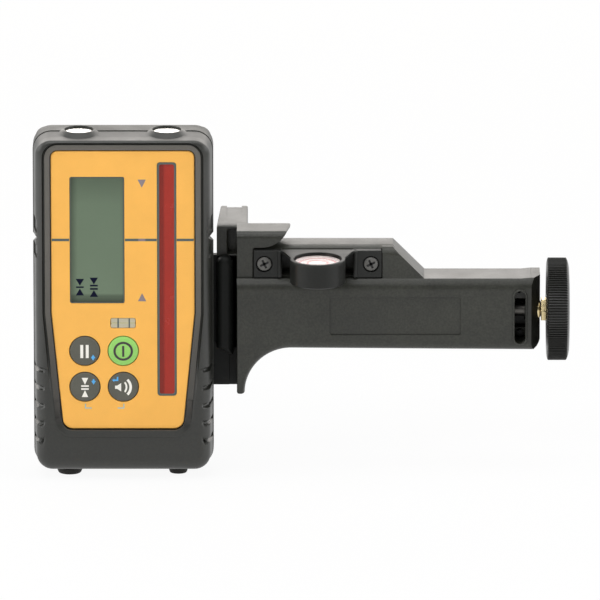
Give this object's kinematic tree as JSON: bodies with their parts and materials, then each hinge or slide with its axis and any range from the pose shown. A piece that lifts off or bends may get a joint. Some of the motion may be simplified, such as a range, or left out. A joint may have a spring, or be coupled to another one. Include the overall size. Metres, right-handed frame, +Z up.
{
  "type": "laser receiver",
  "caption": "Handheld laser level receiver with display, detector window and round keys, on a screw rod clamp holder with a bull's-eye level.",
  "frame": {"origin": "on the fixed jaw's gripping face, in the plane that the rod rests against, at the height of the receiver's on-grade line", "axes": "+X along the holder's arm towards the clamp knob, +Y from the display to the rod, +Z up"},
  "size_m": [0.2268, 0.0719, 0.1496],
  "materials": {
    "housing": "matte moulded",
    "seal": "matte",
    "panel": "satin printed",
    "display_glass": "clear",
    "display": "satin",
    "detector": "tinted gloss",
    "electronics": "matte",
    "board": "solder mask",
    "key_grey": "matte",
    "key_green": "matte",
    "steel": "bright",
    "cells": "sleeved",
    "tube_level": "satin",
    "vial_glass": "clear",
    "level_white": "gloss",
    "level_liquid": "clear",
    "arm": "fine grained",
    "bracket": "gloss",
    "knob": "satin",
    "brass": "bright"
  },
  "bodies": {
    "receiver_and_holder": {"front_housing": "housing", "rear_housing": "housing", "housing_seal": "seal", "face_panel": "panel", "display_pane": "display_glass", "display_module": "display", "detector_pane": "detector", "photodiodes": "electronics", "main_board": "board", "board_screws": "steel", "dome_switches": "steel", "tube_level_block": "tube_level", "tube_level_vial": "vial_glass", "buzzer": "electronics", "battery_cells": "cells", "battery_contacts": "steel", "magnets": "steel", "left_foot": "seal", "right_foot": "seal", "housing_screws": "steel", "mount_insert": "brass", "holder_frame": "arm", "end_cap": "arm", "end_cap_screws": "steel", "end_bush": "knob", "level_bracket": "bracket", "level_screws": "steel", "level_case": "level_white", "level_liquid": "level_liquid", "level_lens": "vial_glass"},
    "key_pause": {"key_pause": "key_grey"},
    "key_power": {"key_power": "key_green"},
    "key_precision": {"key_precision": "key_grey"},
    "key_sound": {"key_sound": "key_grey"},
    "moving_jaw": {"moving_jaw": "arm", "jaw_nut": "brass"},
    "clamp_screw": {"lead_screw": "steel", "clamp_knob": "knob", "jam_nut": "brass", "thrust_washer": "brass", "retaining_clip": "steel"},
    "thumb_screw": {"thumb_screw": "knob", "thumb_screw_ring": "steel"},
    "battery_door": {"battery_door": "housing", "door_seal": "seal"},
    "door_lock": {"door_lock": "steel"}
  },
  "joints": [
    {"name": "key_pause_press", "type": "slide", "parent": "receiver_and_holder", "child": "key_pause", "axis": [0, 1, 0], "range_m": [0, 0.0005], "stiffness_N_per_m": 400},
    {"name": "key_power_press", "type": "slide", "parent": "receiver_and_holder", "child": "key_power", "axis": [0, 1, 0], "range_m": [0, 0.0005], "stiffness_N_per_m": 400},
    {"name": "key_precision_press", "type": "slide", "parent": "receiver_and_holder", "child": "key_precision", "axis": [0, 1, 0], "range_m": [0, 0.0005], "stiffness_N_per_m": 400},
    {"name": "key_sound_press", "type": "slide", "parent": "receiver_and_holder", "child": "key_sound", "axis": [0, 1, 0], "range_m": [0, 0.0005], "stiffness_N_per_m": 400},
    {"name": "clamp_turn", "type": "hinge", "parent": "receiver_and_holder", "child": "clamp_screw", "pos_m": [0, -0.00975, -0.035], "axis": [1, 0, 0], "range_deg": [-12940, 13300]},
    {"name": "jaw_slide", "type": "slide", "parent": "receiver_and_holder", "child": "moving_jaw", "axis": [1, 0, 0], "range_m": [-0.036, 0.037]},
    {"name": "thumb_turn", "type": "hinge", "parent": "receiver_and_holder", "child": "thumb_screw", "pos_m": [-0.0524, 0, -0.038], "axis": [0, 1, 0], "continuous": true},
    {"name": "door_lift", "type": "slide", "parent": "receiver_and_holder", "child": "battery_door", "axis": [0, 1, 0], "range_m": [0, 0.025]},
    {"name": "door_lock_turn", "type": "hinge", "parent": "battery_door", "child": "door_lock", "pos_m": [-0.0524, -0.004, -0.0626], "axis": [0, 1, 0], "range_deg": [0, 90]}
  ],
  "couplings": [
    {"joint": "jaw_slide", "follows": "clamp_turn", "m_per_rad": 0.00015915}
  ]
}
